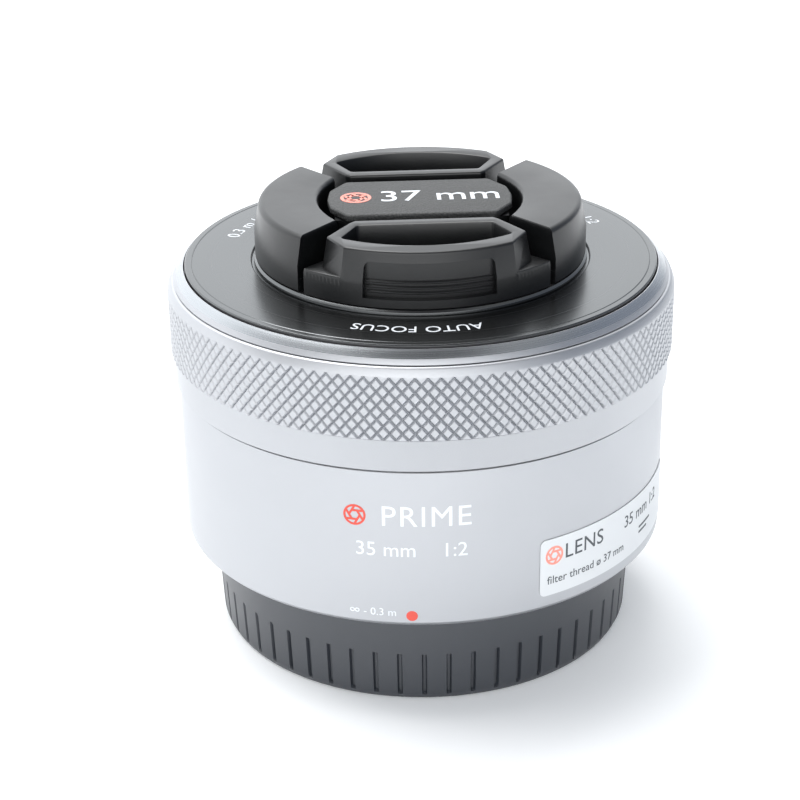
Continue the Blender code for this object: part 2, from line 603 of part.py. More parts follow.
def front_cap():
    """The pinch cap, which is turned a little on the lens and carries both sprung grips."""
    frame = bpy.data.objects.new("front_cap_frame", None)
    frame.rotation_euler.z = math.radians(CAP_TURN)
    LENS.objects.link(frame)
    front_side = [cap_grip("cap_grip_front"), cap_spring("cap_spring_front")]
    rear_side = [cap_grip("cap_grip_rear"), cap_spring("cap_spring_rear")]
    for made in rear_side:
        made.rotation_euler.z = math.pi
    for helper in list(CUTTERS.objects):
        if helper.name.startswith("cap_grip_rear"):
            helper.rotation_euler.z = math.pi
    for made in [cap_body(), cap_plate(), *front_side, *rear_side]:
        made.parent = frame
    for helper in CUTTERS.objects:
        if helper.name.startswith(("cap_grip", "wing", "pedestal", "spring_bore")):
            helper.parent = frame


rear_cap()
mount()
chassis()
barrel()
focus_ring()
front()
rear_group()
electronics()
iris()
focus_drive()
front_cap()
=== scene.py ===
"""Looks of a silver autofocus prime lens that stands on its rear cap with its front cap fitted.

Lengths in the functions are millimetres in the CAD's frame. build() and mesh_from() make them
metres. Angles passed between functions are degrees, with -90 at -Y, the index dot's side.
"""
import json
import math

import bmesh
import bpy
from mathutils import Matrix, Vector
from mathutils.geometry import tessellate_polygon


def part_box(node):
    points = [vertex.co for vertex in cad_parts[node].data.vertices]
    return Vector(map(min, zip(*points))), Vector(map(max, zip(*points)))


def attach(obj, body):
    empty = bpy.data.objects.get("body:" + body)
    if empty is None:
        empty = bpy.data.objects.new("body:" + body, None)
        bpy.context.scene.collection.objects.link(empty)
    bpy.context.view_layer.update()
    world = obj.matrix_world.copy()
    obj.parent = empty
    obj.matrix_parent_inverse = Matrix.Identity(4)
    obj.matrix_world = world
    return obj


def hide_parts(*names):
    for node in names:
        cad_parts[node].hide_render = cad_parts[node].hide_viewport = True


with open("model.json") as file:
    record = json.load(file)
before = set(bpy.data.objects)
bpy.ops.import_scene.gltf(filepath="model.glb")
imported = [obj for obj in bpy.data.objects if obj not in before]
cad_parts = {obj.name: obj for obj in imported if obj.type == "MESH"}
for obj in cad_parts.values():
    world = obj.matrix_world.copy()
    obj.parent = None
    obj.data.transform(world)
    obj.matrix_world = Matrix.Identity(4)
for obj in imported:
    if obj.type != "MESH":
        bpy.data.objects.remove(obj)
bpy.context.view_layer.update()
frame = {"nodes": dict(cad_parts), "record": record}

MM = 0.001
COLUMNS = 288                   # columns of a turned piece, unless its call says otherwise
CAP_TURN = math.radians(3.2)    # how far the front cap sits turned on the lens
INK_DEPTH = 0.03                # thickness of filled lettering


def span(node):
    """Outer radius, lowest and highest point of a turned CAD node."""
    low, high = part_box(node)
    return max(high.x, -low.x) / MM, low.z / MM, high.z / MM


# ---------- materials

def feed(tree, node, inputs):
    """Links each input that is given a socket and sets each that is given a value."""
    for name, value in inputs.items():
        if isinstance(value, bpy.types.NodeSocket):
            tree.links.new(value, node.inputs[name])
        else:
            node.inputs[name].default_value = value


def add_node(tree, kind, inputs=None, output=0, **settings):
    """Adds a shader node with its settings and inputs, and gives one of its outputs."""
    node = tree.nodes.new("ShaderNode" + kind)
    for name, value in settings.items():
        setattr(node, name, value)
    feed(tree, node, inputs or {})
    return node.outputs[output]


def nodes_of(name):
    """A new material, its tree and its shader."""
    made = bpy.data.materials.new(name)
    made.use_nodes = True
    tree = made.node_tree
    return made, tree, tree.nodes["Principled BSDF"]


def place_node(tree, scale=(1, 1, 1)):
    """Object coordinates in millimetres, stretched by scale."""
    coordinates = add_node(tree, "TexCoord", output="Object")
    return add_node(tree, "Mapping", {"Vector": coordinates, "Scale": [1 / MM * s for s in scale]})


def split_place(tree, place):
    """The x, y and z of a place."""
    return tuple(add_node(tree, "SeparateXYZ", {"Vector": place}).node.outputs)


def noise_node(tree, place, scale, detail=3.0, roughness=0.55):
    inputs = {"Vector": place, "Scale": scale, "Detail": detail, "Roughness": roughness}
    return add_node(tree, "TexNoise", inputs, "Fac")


def between(tree, factor, low, high, start=0.3, end=0.7):
    """Maps a value that runs from start to end so that it runs from low to high."""
    inputs = {"Value": factor, "From Min": start, "From Max": end, "To Min": low, "To Max": high}
    return add_node(tree, "MapRange", inputs, "Result")


def mix_node(tree, factor, first, second):
    return add_node(tree, "Mix", {"Factor": factor, "A": first, "B": second}, "Result", data_type="RGBA")


def blend_colours(tree, factor, first, second):
    return mix_node(tree, factor, (*first, 1), (*second, 1))


def toned(colour, factor):
    return [min(1.0, c * factor) for c in colour]


def bump_node(tree, height, strength, distance, before=None):
    inputs = {"Height": height, "Strength": strength, "Distance": distance * MM}
    if before is not None:
        inputs["Normal"] = before
    return add_node(tree, "Bump", inputs)


def surface(name, colour, roughness, metallic=0.0, grain=3.0, relief=0.01, vary=0.06, uneven=0.05,
            cloud=0.12, specular=0.5):
    """A grained surface: fine relief, cloudy colour and uneven gloss.

    grain is the number of grains in a millimetre and relief their height in millimetres. vary is
    the colour's share of change, uneven the gloss's change, and cloud the clouds in a millimetre.
    """
    made, tree, shader = nodes_of(name)
    place = place_node(tree)
    clouds = noise_node(tree, place, cloud, 4.0)
    fine = noise_node(tree, place, grain, 2.0)
    feed(tree, shader, {
        "Base Color": blend_colours(tree, clouds, toned(colour, 1 - vary), toned(colour, 1 + vary)),
        "Roughness": between(tree, clouds, roughness - uneven, roughness + uneven),
        "Normal": bump_node(tree, fine, 1.0, relief),
        "Metallic": metallic, "Specular IOR Level": specular})
    return made


def turned_finish(name, colour, roughness, anisotropy, metallic=1.0, line=5.0, relief=0.002):
    """Metal turned on a lathe: gloss drawn out across fine rings about the optical axis.

    line is the number of rings in a millimetre and relief their height in millimetres.
    """
    darker, lighter, uneven, quarter_turn = 0.9, 1.08, 0.04, 0.25
    made, tree, shader = nodes_of(name)
    x, y, z = split_place(tree, place_node(tree))
    flat = add_node(tree, "CombineXYZ", {"X": x, "Y": y})
    radius = add_node(tree, "VectorMath", {0: flat}, "Value", operation="LENGTH")
    rings = noise_node(tree, add_node(tree, "CombineXYZ", {"X": radius, "Z": z}), line, 3.0, 0.6)
    feed(tree, shader, {
        "Base Color": blend_colours(tree, rings, toned(colour, darker), toned(colour, lighter)),
        "Roughness": between(tree, rings, roughness - uneven, roughness + uneven),
        "Normal": bump_node(tree, rings, 1.0, relief),
        "Tangent": add_node(tree, "Tangent", direction_type="RADIAL", axis="Z"),
        "Metallic": metallic, "Anisotropic": anisotropy, "Anisotropic Rotation": quarter_turn})
    return made


def shaded_leather_grain(name, colour, roughness):
    """Moulded leather grain: small irregular cells with soft valleys, and shade painted darker into the
    valleys.
    """
    cells_per_mm, valley_width, painted_valley_shade, relief, fine_relief = 2.6, 0.22, 0.62, 0.035, 0.012
    made, tree, shader = nodes_of(name)
    place = place_node(tree)
    inputs = {"Vector": place, "Scale": cells_per_mm}
    cells = add_node(tree, "TexVoronoi", inputs, "Distance", feature="DISTANCE_TO_EDGE")
    valleys = between(tree, cells, 0.0, 1.0, 0.0, valley_width)
    fine = noise_node(tree, place, 9.0, 2.0)
    small = bump_node(tree, fine, 0.5, fine_relief)
    feed(tree, shader, {
        # Painted shade: the base colour is darker in the grain's valleys.
        "Base Color": blend_colours(tree, valleys, toned(colour, painted_valley_shade), colour),
        "Roughness": between(tree, fine, roughness - 0.05, roughness + 0.08),
        "Normal": bump_node(tree, valleys, 1.0, relief, small)})
    return made


def glass_finish(name, tint, glow):
    """Coated optical glass: clear, with the coloured sheen of its coating."""
    made, tree, shader = nodes_of(name)
    clouds = noise_node(tree, place_node(tree), 0.05, 1.0)
    feed(tree, shader, {
        "Base Color": blend_colours(tree, clouds, tint, toned(tint, 1.03)), "Roughness": 0.02,
        "IOR": 1.6, "Transmission Weight": 1.0, "Specular Tint": (*glow, 1)})
    return made


def board_finish(name):
    """Solder mask over copper tracks."""
    made, tree, shader = nodes_of(name)
    tracks = add_node(tree, "TexBrick", {
        "Vector": place_node(tree, (1, 1, 0.2)), "Scale": 0.55, "Mortar Size": 0.05,
        "Color1": (0.010, 0.090, 0.040, 1), "Color2": (0.013, 0.105, 0.047, 1),
        "Mortar": (0.035, 0.20, 0.085, 1)}, "Color")
    relief = bump_node(tree, tracks.node.outputs["Fac"], 1.0, 0.02)
    feed(tree, shader, {"Base Color": tracks, "Normal": relief, "Roughness": 0.38})
    return made


SILVER = surface("silver", (0.47, 0.48, 0.50), 0.46, 1.0, 7.0, 0.010, 0.02, 0.03)
BEVEL = turned_finish("cut_bevel", (0.45, 0.47, 0.49), 0.27, 0.0, relief=0.0002)
BLACK_RING = turned_finish("black_ring", (0.140, 0.145, 0.148), 0.25, 0.0, relief=0.0002)
BLACK_METAL = surface("black_metal", (0.030, 0.030, 0.032), 0.42, 0.4, 6.0, 0.006)
CAP_PLASTIC = surface("cap_plastic", (0.004, 0.0045, 0.005), 0.33, 0.0, 6.0, 0.006, 0.08, 0.04, specular=0.55)
REAR_PLASTIC = surface("rear_plastic", (0.022, 0.026, 0.034), 0.42, 0.0, 5.0, 0.008, 0.07, 0.04, specular=0.9)
# The plate's grain has shade painted darker into its valleys.
PLATE_FACE = shaded_leather_grain("plate_grain", (0.030, 0.031, 0.031), 0.50)
CHROME = turned_finish("mount_chrome", (0.78, 0.78, 0.77), 0.20, 0.4, 1.0, 3.0)
STEEL = surface("steel", (0.60, 0.60, 0.61), 0.28, 1.0, 9.0, 0.003, 0.05)
BRASS = surface("brass", (0.78, 0.60, 0.32), 0.27, 1.0, 8.0, 0.003, 0.06)
GOLD = surface("gold_contact", (0.90, 0.68, 0.30), 0.20, 1.0, 8.0, 0.002, 0.04)
BLADE = surface("blade_coating", (0.045, 0.045, 0.047), 0.48, 0.6, 8.0, 0.003, 0.1)
GLASS_FRONT = glass_finish("coated_glass_front", (0.90, 0.93, 0.98), (0.75, 0.62, 1.0))
GLASS_INNER = glass_finish("coated_glass_inner", (0.93, 0.97, 0.94), (0.60, 1.0, 0.78))
INNER = surface("inner_plastic", (0.018, 0.018, 0.019), 0.62, 0.0, 5.0, 0.010, 0.1)
WHITE = surface("white_plastic", (0.84, 0.84, 0.82), 0.42, 0.0, 6.0, 0.004)
BOARD = board_finish("circuit_board")
LABEL = surface("label_film", (0.67, 0.69, 0.705), 0.45, 0.0, 5.0, 0.003, 0.015, 0.03)
INK = surface("dark_ink", (0.075, 0.085, 0.095), 0.55, 0.0, 8.0, 0.002)
PALE_INK = surface("pale_ink", (0.74, 0.77, 0.81), 0.50, 0.0, 8.0, 0.002)
RED = surface("red_paint", (0.66, 0.075, 0.050), 0.38, 0.0, 7.0, 0.003)
SALMON = surface("salmon_ink", (0.90, 0.30, 0.24), 0.50, 0.0, 8.0, 0.002)


# ---------- mesh tools

def build(name, vertices, faces, body, materials, replaces=(), paint=None, sharp=34):
    """A shaded piece from vertices in millimetres."""
    mesh = bpy.data.meshes.new(name)
    mesh.from_pydata([[c * MM for c in v] for v in vertices], [], faces)
    return settle(name, mesh, body, materials, replaces, paint, sharp)


def settle(name, mesh, body, materials, replaces=(), paint=None, sharp=34):
    """Cleans a closed mesh, gives it its materials and puts it on its body.

    paint(radius, height) picks a face's material from its centre. Edges over sharp degrees stay crisp.
    """
    work = bmesh.new()
    work.from_mesh(mesh)
    bmesh.ops.remove_doubles(work, verts=work.verts, dist=2e-6)
    bmesh.ops.dissolve_degenerate(work, edges=work.edges, dist=1e-7)
    bmesh.ops.recalc_face_normals(work, faces=work.faces)
    work.to_mesh(mesh)
    work.free()
    mesh.materials.clear()
    for material in materials:
        mesh.materials.append(material)
    if paint:
        for polygon in mesh.polygons:
            centre = polygon.center / MM
            polygon.material_index = paint(math.hypot(centre.x, centre.y), centre.z)
    mesh.shade_smooth()
    mesh.set_sharp_from_angle(angle=math.radians(sharp))
    made = bpy.data.objects.new(name, mesh)
    bpy.context.scene.collection.objects.link(made)
    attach(made, body)
    if replaces:
        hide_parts(*replaces)
    return made


def polar(radius, degrees):
    return (radius * math.cos(math.radians(degrees)), radius * math.sin(math.radians(degrees)))


def arc(radius, start, end, steps):
    """Points along a circle about the axis, from start to end degrees."""
    return [polar(radius, start + (end - start) * i / steps) for i in range(steps + 1)]


def around(columns):
    """Equal steps round a full turn, in degrees."""
    return [360 / columns * i for i in range(columns)]


def rectangle(width, height, *corner):
    """A rectangle's outline about its centre; a corner radius makes it ready for rounded()."""
    x, y = width / 2, height / 2
    return [(-x, -y, *corner), (x, -y, *corner), (x, y, *corner), (-x, y, *corner)]


def rounded(points, steps=4):
    """A closed outline in which a point (x, y, radius) becomes a rounded corner."""
    outline = []
    for i, point in enumerate(points):
        if len(point) == 2:
            outline.append(tuple(point))
            continue
        here = Vector(point[:2])
        before = Vector(points[i - 1][:2]) - here
        after = Vector(points[(i + 1) % len(points)][:2]) - here
        half = before.angle(after) / 2
        back = min(point[2] / math.tan(half), 0.49 * before.length, 0.49 * after.length)
        centre = here + (before.normalized() + after.normalized()).normalized() * back / math.cos(half)
        start = here + before.normalized() * back - centre
        end = here + after.normalized() * back - centre
        sweep = math.atan2(start.x * end.y - start.y * end.x, start.dot(end))
        for step in range(steps + 1):
            spot = Matrix.Rotation(sweep * step / steps, 2) @ start + centre
            outline.append((spot.x, spot.y))
    return outline


def revolve(outline, angles=None, offset=None):
    """Turns an outline of (radius, height); offset(angle, radius, height) adds to the radius."""
    angles = angles or around(COLUMNS)
    across = len(angles)
    vertices = []
    for radius, height in outline:
        for angle in angles:
            extra = offset(angle, radius, height) if offset and radius > 0 else 0
            vertices.append((*polar(radius + extra, angle), height))
    rows = len(outline) if outline[0][0] > 0 else len(outline) - 1
    faces = []
    for row in range(rows):
        here, there = row * across, (row + 1) % len(outline) * across
        for i in range(across):
            j = (i + 1) % across
            faces.append((here + i, here + j, there + j, there + i))
    return vertices, faces


def lathe(name, outline, body, materials, replaces=(), columns=COLUMNS, offset=None, paint=None,
          steps=4):
    """A piece turned about the axis from an outline of (radius, height, corner radius)."""
    vertices, faces = revolve(rounded(outline, steps), around(columns), offset)
    return build(name, vertices, faces, body, materials, replaces, paint)


def inset(outline, distances):
    """Moves each side of an anticlockwise outline inwards by its own distance."""
    if not hasattr(distances, "__len__"):
        distances = [distances] * len(outline)
    moved = []
    for i, here in enumerate(outline):
        before, after = outline[i - 1], outline[(i + 1) % len(outline)]
        first = Vector((before[1] - here[1], here[0] - before[0])).normalized()
        second = Vector((here[1] - after[1], after[0] - here[0])).normalized()
        cross = first.x * second.y - first.y * second.x
        one, two = distances[i - 1], distances[i]
        if abs(cross) < 0.02:
            shift = (first + second).normalized() * (one + two) / 2
        else:
            shift = Vector(((one * second.y - two * first.y) / cross, (two * first.x - one * second.x) / cross))
        moved.append((here[0] + shift.x, here[1] + shift.y))
    return moved


def softened(outline, high, edges, steps=4):
    """Layers (outline, height) that round the top edge of an outline; edges are fillet sizes per side."""
    per_side = hasattr(edges, "__len__")
    largest = max(edges) if per_side else edges
    layers = []
    for step in range(steps + 1):
        turn = math.pi / 2 * step / steps
        share = 1 - math.cos(turn)
        sizes = [e * share for e in edges] if per_side else edges * share
        layers.append((inset(outline, sizes), high - largest * (1 - math.sin(turn))))
    return layers


def tower(layers, pockets=()):
    """A closed solid from layers (outline, height), lowest first, all with as many points.

    A pocket is a list of layers that starts at the rim in the solid's top and ends at its floor.
    """
    vertices, faces = [], []

    def add_layers(stack):
        count = len(stack[0][0])
        first = len(vertices)
        for outline, height in stack:
            vertices.extend((x, y, height) for x, y in outline)
        for level in range(len(stack) - 1):
            low, high = first + level * count, first + (level + 1) * count
            for i in range(count):
                j = (i + 1) % count
                faces.append((low + i, low + j, high + j, high + i))
        return first, first + (len(stack) - 1) * count, count

    def add_cap(rims):
        loops = [[Vector(vertices[start + i]) for i in range(count)] for start, count in rims]
        index = [start + i for start, count in rims for i in range(count)]
        faces.extend([tuple(index[i] for i in triangle) for triangle in tessellate_polygon(loops)])

    bottom, top, count = add_layers(layers)
    add_cap([(bottom, count)])
    rims = [(top, count)]
    for pocket in pockets:
        rim, floor, size = add_layers(pocket)
        add_cap([(floor, size)])
        rims.append((rim, size))
    add_cap(rims)
    return vertices, faces


def mesh_from(vertices, faces):
    """A closed mesh in metres from vertices in millimetres."""
    mesh = bpy.data.meshes.new("part")
    mesh.from_pydata([[c * MM for c in v] for v in vertices], [], faces)
    work = bmesh.new()
    work.from_mesh(mesh)
    bmesh.ops.remove_doubles(work, verts=work.verts, dist=1e-7)
    bmesh.ops.recalc_face_normals(work, faces=work.faces)
    work.to_mesh(mesh)
    work.free()
    return mesh


def stacked(layers, pockets=()):
    """The mesh of a tower."""
    return mesh_from(*tower(layers, pockets))


def spun(outline, angles=None, offset=None):
    """The mesh of a turned outline."""
    return mesh_from(*revolve(outline, angles, offset))


def combine(mesh, *steps):
    """Applies exact Booleans in turn: each step is an operation and a mesh."""
    target = bpy.data.objects.new("target", mesh)
    bpy.context.scene.collection.objects.link(target)
    others = []
    for operation, other in steps:
        tool = bpy.data.objects.new("tool", other)
        bpy.context.scene.collection.objects.link(tool)
        others.append(tool)
        modifier = target.modifiers.new("combine", "BOOLEAN")
        modifier.operation = operation
        modifier.object = tool
    bpy.context.view_layer.update()
    graph = bpy.context.evaluated_depsgraph_get()
    result = bpy.data.meshes.new_from_object(target.evaluated_get(graph))
    for helper in [target, *others]:
        bpy.data.objects.remove(helper)
    return result


def in_cap_frame(mesh, about=0.0):
    """Turns a mesh made in the front cap's own frame to where the cap sits on the lens."""
    mesh.transform(Matrix.Rotation(CAP_TURN + about, 4, "Z"))
    return mesh


# ---------- rear cap and barrel

def rear_cap():
    """The cap's cup with its grip grooves and three inner lugs."""
    radius, low, high = span("rear_cap")
    count, width, depth, slope = 56, 0.62, 0.42, 0.16
    groove_low, groove_high, fade_low, fade_high = 0.75, 6.35, 0.2, 0.25
    pitch = 2 * math.pi * radius / count
    marks = [-width / 2, -width / 2 + slope, width / 2 - slope, width / 2]
    marks += [width / 2 + (pitch - width) * i / 5 for i in range(1, 5)]
    angles = [(pitch * i + mark) / radius * 180 / math.pi for i in range(count) for mark in marks]

    def groove(angle, at_radius, height):
        along = (math.radians(angle) * radius / pitch) % 1
        near = min(along, 1 - along) * pitch
        on_wall = at_radius >= radius - 1.2 and groove_low < height < groove_high
        if not on_wall or near > width / 2 - slope + 1e-3:
            return 0
        return -depth * min(1, (groove_high - height) / fade_high, (height - groove_low) / fade_low)

    wall = [(radius, high - 2.0), (radius - 0.14, 7.2), (radius - 0.16, 6.4), (radius - 0.17, 6.1),
            (radius - 0.42, 1.2), (radius - 0.44, 0.95), (radius - 0.47, 0.70)]
    outline = [(0, low + 1.6), (23.3, low + 1.6), (23.9, low + 2.2), (23.9, high - 0.25), (24.15, high),
               (radius - 0.35, high, 0.1), (radius, high - 0.35, 0.15), *wall,
               (radius - 0.75, 0.12, 0.1), (radius - 1.1, low, 0.1), (radius - 2.6, low, 0.1),
               (radius - 3.0, low + 0.35, 0.1), (0, low + 0.35)]
    cup = spun(rounded(outline), angles, groove)
    lugs = []
    lug_out, lug_in, lug_half, lug_low, lug_high = 24.3, 22.2, 18, 9.8, 11.2
    for middle in (0, 120, 240):
        start, end = middle - lug_half, middle + lug_half
        outline = arc(lug_out, start, end, 12) + arc(lug_in, end, start, 12)
        lugs.append(("UNION", stacked([(outline, lug_low), *softened(outline, lug_high, 0.2, 2)])))
    settle("rear_cap_cup", combine(cup, *lugs), "rear_cap", [REAR_PLASTIC], ["rear_cap"])


def barrel():
    """The silver shell, with an inner flange at its foot and a black seat under the focus ring."""
    radius, low, high = span("main_barrel")
    high += 0.09
    flange_bore, flange_top, bore, seat = 27.7, 14.0, 28.3, 0.6
    lathe("barrel_shell", [
        (radius - 0.16, high, 0.02), (radius, high - 0.16, 0.03), (radius, low + 0.55, 0.25),
        (radius - 0.5, low, 0.1), (flange_bore, low, 0.05), (flange_bore, flange_top), (bore, flange_top),
        (bore, high - seat), (radius - 0.5, high - seat), (radius - 0.5, high),
    ], "lens_body", [SILVER, BLACK_METAL], ["main_barrel"], 360,
        paint=lambda r, z: 1 if r < radius - 0.2 and z > high - 1 else 0)


def sliced(mesh, step=0.5):
    """Cuts a flat mesh into strips across x, so that it can follow a curve."""
    work = bmesh.new()
    work.from_mesh(mesh)
    left, right = min(v.co.x for v in work.verts) / MM, max(v.co.x for v in work.verts) / MM
    for i in range(1, int((right - left) / step) + 1):
        cut = ((left + i * step) * MM, 0, 0)
        geometry = work.verts[:] + work.edges[:] + work.faces[:]
        bmesh.ops.bisect_plane(work, geom=geometry, plane_no=(1, 0, 0), plane_co=cut)
    work.to_mesh(mesh)
    work.free()
    return mesh


def bent(mesh, radius, angle, height):
    """Wraps a flat mesh, drawn in x and y with its thickness in z, around the barrel."""
    sliced(mesh)
    for vertex in mesh.vertices:
        x, y, z = vertex.co / MM
        spot = polar(radius + z, angle + math.degrees(x / radius))
        vertex.co = (spot[0] * MM, spot[1] * MM, (height + y) * MM)
    return mesh


def laid(mesh, radius, angle, height):
    """Lays a flat mesh on a level face, curved round the axis with its top outwards."""
    for vertex in mesh.vertices:
        x, y, z = vertex.co / MM
        spot = polar(radius + y, angle - math.degrees(x / radius))
        vertex.co = (spot[0] * MM, spot[1] * MM, (height + z) * MM)
    return mesh


def letters(text, size, spacing=1.0, depth=INK_DEPTH):
    """Generic lettering as a flat solid mesh in metres, centred on its origin."""
    boldness = 0.001    # more than this makes the filled letters overlap themselves
    curve = bpy.data.curves.new("letters", "FONT")
    curve.body = text
    curve.size = size * MM
    curve.extrude = depth / 2 * MM
    curve.offset = size * boldness * MM
    curve.space_character = spacing
    curve.align_x, curve.align_y = "CENTER", "CENTER"
    curve.resolution_u = 4
    guide = bpy.data.objects.new("letters", curve)
    bpy.context.scene.collection.objects.link(guide)
    bpy.context.view_layer.update()
    mesh = bpy.data.meshes.new_from_object(guide.evaluated_get(bpy.context.evaluated_depsgraph_get()))
    bpy.data.objects.remove(guide)
    return mesh


def plate_mesh(outline, depth=INK_DEPTH):
    return stacked([(outline, -depth / 2), (outline, depth / 2)])


def joined(*meshes):
    """Several meshes as one, left as they lie."""
    work = bmesh.new()
    for mesh in meshes:
        work.from_mesh(mesh)
    result = bpy.data.meshes.new("joined")
    work.to_mesh(result)
    work.free()
    return result


def shifted(mesh, x, y, z=0.0):
    mesh.transform(Matrix.Translation((x * MM, y * MM, z * MM)))
    return mesh


def bar(width, height, x=0.0, y=0.0, depth=INK_DEPTH):
    """A flat bar with rounded corners, centred on x and y."""
    outline = rounded(rectangle(width, height, min(width, height) * 0.3), 2)
    return shifted(plate_mesh(outline, depth), x, y)


def iris_mark(radius, line, depth=INK_DEPTH):
    """A plain iris symbol: a ring with six straight blade edges inside."""
    vertices, faces = [], []
    steps, edge_length, edge_x, edge_y = 36, radius * 0.98, radius * 0.22, radius * 0.42
    for height in (-depth / 2, depth / 2):
        for r in (radius, radius - line):
            vertices += [(*polar(r, 360 / steps * i), height) for i in range(steps)]
    low_out, low_in, high_out, high_in = (steps * k for k in range(4))
    for i in range(steps):
        j = (i + 1) % steps
        for a, b in ((low_out, high_out), (high_out, high_in), (high_in, low_in), (low_in, low_out)):
            faces.append((a + i, a + j, b + j, b + i))
    mark = [mesh_from(vertices, faces)]
    for i in range(6):
        edge = shifted(bar(edge_length, line, depth=depth), edge_x, edge_y)
        edge.transform(Matrix.Rotation(math.radians(60 * i), 4, "Z"))
        mark.append(edge)
    return joined(*mark)


def label():
    """The film on the barrel's side, printed with a generic word, sizes, bars and an iris mark."""
    low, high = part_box("side_label")
    height = (high.z - low.z) / MM
    radius = span("main_barrel")[0] + 0.06
    start, end = -63.4, -10.0
    corner, film_depth, ink_radius = 0.7, 0.08, radius + 0.045
    outline = rounded(rectangle(math.radians(end - start) * radius, height, corner), 5)
    middle, level = (start + end) / 2, (low.z + high.z) / 2 / MM
    film = bent(plate_mesh(outline, film_depth), radius, middle, level)
    settle("label_film", film, "lens_body", [LABEL], ["side_label"])
    dark = [shifted(letters("LENS", 2.7, 1.05), -7.5, 1.45),
            shifted(letters("filter thread ø 37 mm", 1.45), -6.6, -1.75),
            shifted(letters("35 mm 1:2", 2.2), 4.4, 1.3), bar(3.4, 0.28, 5.2, -0.9), bar(2.4, 0.28, 4.7, -1.6)]
    settle("label_print", bent(joined(*dark), ink_radius, middle, level), "lens_body", [INK])
    mark = shifted(iris_mark(1.2, 0.26), -12.0, 1.45)
    settle("label_mark", bent(mark, ink_radius, middle, level), "lens_body", [SALMON])


def barrel_marks():
    """The red mount index dot and the generic filled lettering on the barrel."""
    radius = span("main_barrel")[0]
    low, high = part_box("mount_index_dot")
    angle = math.degrees(math.atan2((low.y + high.y) / 2, (low.x + high.x) / 2))
    level, dot_radius = (low.z + high.z) / 2 / MM, (high.z - low.z) / 2 / MM
    dome = spun([(0, 0.045), (dot_radius * 0.5, 0.042), (dot_radius * 0.88, 0.03), (dot_radius, 0.0),
                 (dot_radius, -0.3), (0, -0.3)], around(24))
    settle("index_dot", bent(dome, radius, angle, level), "lens_body", [RED],
           ["mount_index_dot"])
    ink_radius, name_angle, name_level, range_angle, range_level = radius + 0.008, -92.6, 24.6, -101.3, 14.2
    lines = [shifted(letters("PRIME", 3.6, 1.12), 1.7, 1.9), shifted(letters("35 mm    1:2", 2.5), 0.0, -2.3)]
    lettering = bent(joined(*lines), ink_radius, name_angle, name_level)
    settle("barrel_lettering", lettering, "lens_body", [PALE_INK])
    mark = bent(shifted(iris_mark(1.3, 0.26), -6.4, 1.9), ink_radius, name_angle, name_level)
    settle("barrel_mark", mark, "lens_body", [RED])
    distances = bent(letters("∞ - 0.3 m", 1.35), ink_radius, range_angle, range_level)
    settle("barrel_range", distances, "lens_body", [PALE_INK])


# ---------- focus ring

